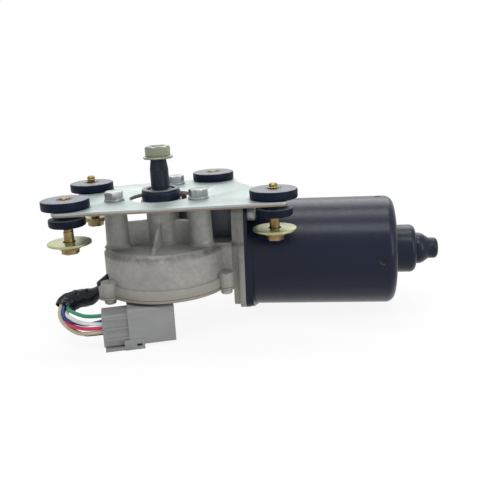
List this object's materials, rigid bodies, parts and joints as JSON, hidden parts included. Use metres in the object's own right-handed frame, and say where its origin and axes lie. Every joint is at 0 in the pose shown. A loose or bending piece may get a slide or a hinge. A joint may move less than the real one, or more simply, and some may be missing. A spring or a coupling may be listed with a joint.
{
  "type": "wiper motor",
  "caption": "Permanent-magnet wiper motor with worm gearbox, output spindle, mounting plate on rubber cushions and a short wired connector.",
  "frame": {"origin": "on the output shaft's axis, level with the top faces of the four rubber cushions", "axes": "+X along the motor from the gearbox to the end cap, +Z out of the output shaft"},
  "size_m": [0.2344, 0.1173, 0.1109],
  "materials": {
    "zinc_bright": "satin",
    "zinc_yellow": "satin",
    "plate_zinc": "satin",
    "cushion_rubber": "matte",
    "seal_rubber": "satin",
    "die_casting": "matte",
    "gasket_paper": "matte",
    "black_paint": "gloss",
    "black_plastic": "satin",
    "black_steel": "satin",
    "sintered_bronze": "satin",
    "gear_plastic": "satin",
    "contact_brass": "satin",
    "board_laminate": "matte",
    "lamination_steel": "satin",
    "copper_wire": "gloss",
    "ferrite": "matte",
    "carbon": "matte",
    "grey_plastic": "satin",
    "vinyl_black": "gloss",
    "wire_green": "gloss",
    "wire_white": "gloss",
    "wire_black": "gloss",
    "wire_blue": "gloss",
    "wire_red": "gloss",
    "wire_beige": "gloss"
  },
  "bodies": {
    "motor_frame": {"cushion_left_front": "cushion_rubber", "cushion_right_front": "cushion_rubber", "cushion_left_rear": "cushion_rubber", "cushion_right_rear": "cushion_rubber", "cushion_sleeves": "zinc_bright", "mounting_plate": "plate_zinc", "plate_screws": "zinc_bright", "plate_screw_washers": "zinc_bright", "gear_housing": "die_casting", "cover_gasket": "gasket_paper", "gear_cover": "plate_zinc", "cover_screws": "zinc_yellow", "motor_can": "black_paint", "end_cap": "black_paint", "can_screws": "zinc_yellow", "can_screw_washers": "zinc_bright", "shaft_bushes": "sintered_bronze", "thrust_washer": "zinc_bright", "shaft_seal": "seal_rubber", "seal_ring": "zinc_bright", "contact_board": "board_laminate", "park_contacts": "contact_brass", "thrust_ball": "zinc_bright", "thrust_screw": "zinc_bright", "thrust_nut": "zinc_bright", "armature_bushes": "sintered_bronze", "rear_bush": "sintered_bronze", "rear_bush_clips": "zinc_bright", "magnets": "ferrite", "brush_card": "board_laminate", "brush_holders": "contact_brass", "brushes": "carbon", "brush_springs": "zinc_bright", "terminal_cover": "black_plastic", "lead_grommet": "seal_rubber", "lead_sleeve": "vinyl_black", "connector_housing": "grey_plastic", "connector_terminals": "contact_brass", "wire_green": "wire_green", "wire_white": "wire_white", "wire_black": "wire_black", "wire_blue": "wire_blue", "wire_red": "wire_red", "wire_beige": "wire_beige"},
    "output": {"output_shaft": "black_steel", "shaft_nut": "zinc_bright", "worm_wheel": "gear_plastic", "shaft_circlip": "black_steel", "park_disc": "contact_brass"},
    "armature": {"armature_shaft": "black_steel", "armature_core": "lamination_steel", "armature_windings": "copper_wire", "commutator": "copper_wire"},
    "bolt_left_front": {"mounting_bolt_left_front": "zinc_yellow", "mounting_washer_left_front": "zinc_yellow"},
    "bolt_right_front": {"mounting_bolt_right_front": "zinc_yellow", "mounting_washer_right_front": "zinc_yellow"},
    "bolt_left_rear": {"mounting_bolt_left_rear": "zinc_yellow"},
    "bolt_right_rear": {"mounting_bolt_right_rear": "zinc_yellow"}
  },
  "joints": [
    {"name": "output_spin", "type": "hinge", "parent": "motor_frame", "child": "output", "pos_m": [0, 0, 0], "axis": [0, 0, 1], "continuous": true},
    {"name": "armature_spin", "type": "hinge", "parent": "motor_frame", "child": "armature", "pos_m": [0, 0.029, -0.049], "axis": [1, 0, 0], "continuous": true},
    {"name": "bolt_left_front_slide", "type": "slide", "parent": "motor_frame", "child": "bolt_left_front", "axis": [0, 0, 1], "range_m": [-0.001, 0.008]},
    {"name": "bolt_right_front_slide", "type": "slide", "parent": "motor_frame", "child": "bolt_right_front", "axis": [0, 0, 1], "range_m": [-0.003, 0.006]},
    {"name": "bolt_left_rear_slide", "type": "slide", "parent": "motor_frame", "child": "bolt_left_rear", "axis": [0, 0, 1], "range_m": [-0.0041, 0.0064]},
    {"name": "bolt_right_rear_slide", "type": "slide", "parent": "motor_frame", "child": "bolt_right_rear", "axis": [0, 0, 1], "range_m": [-0.0007, 0.0098]}
  ],
  "couplings": [
    {"joint": "armature_spin", "follows": "output_spin", "ratio": 48}
  ]
}
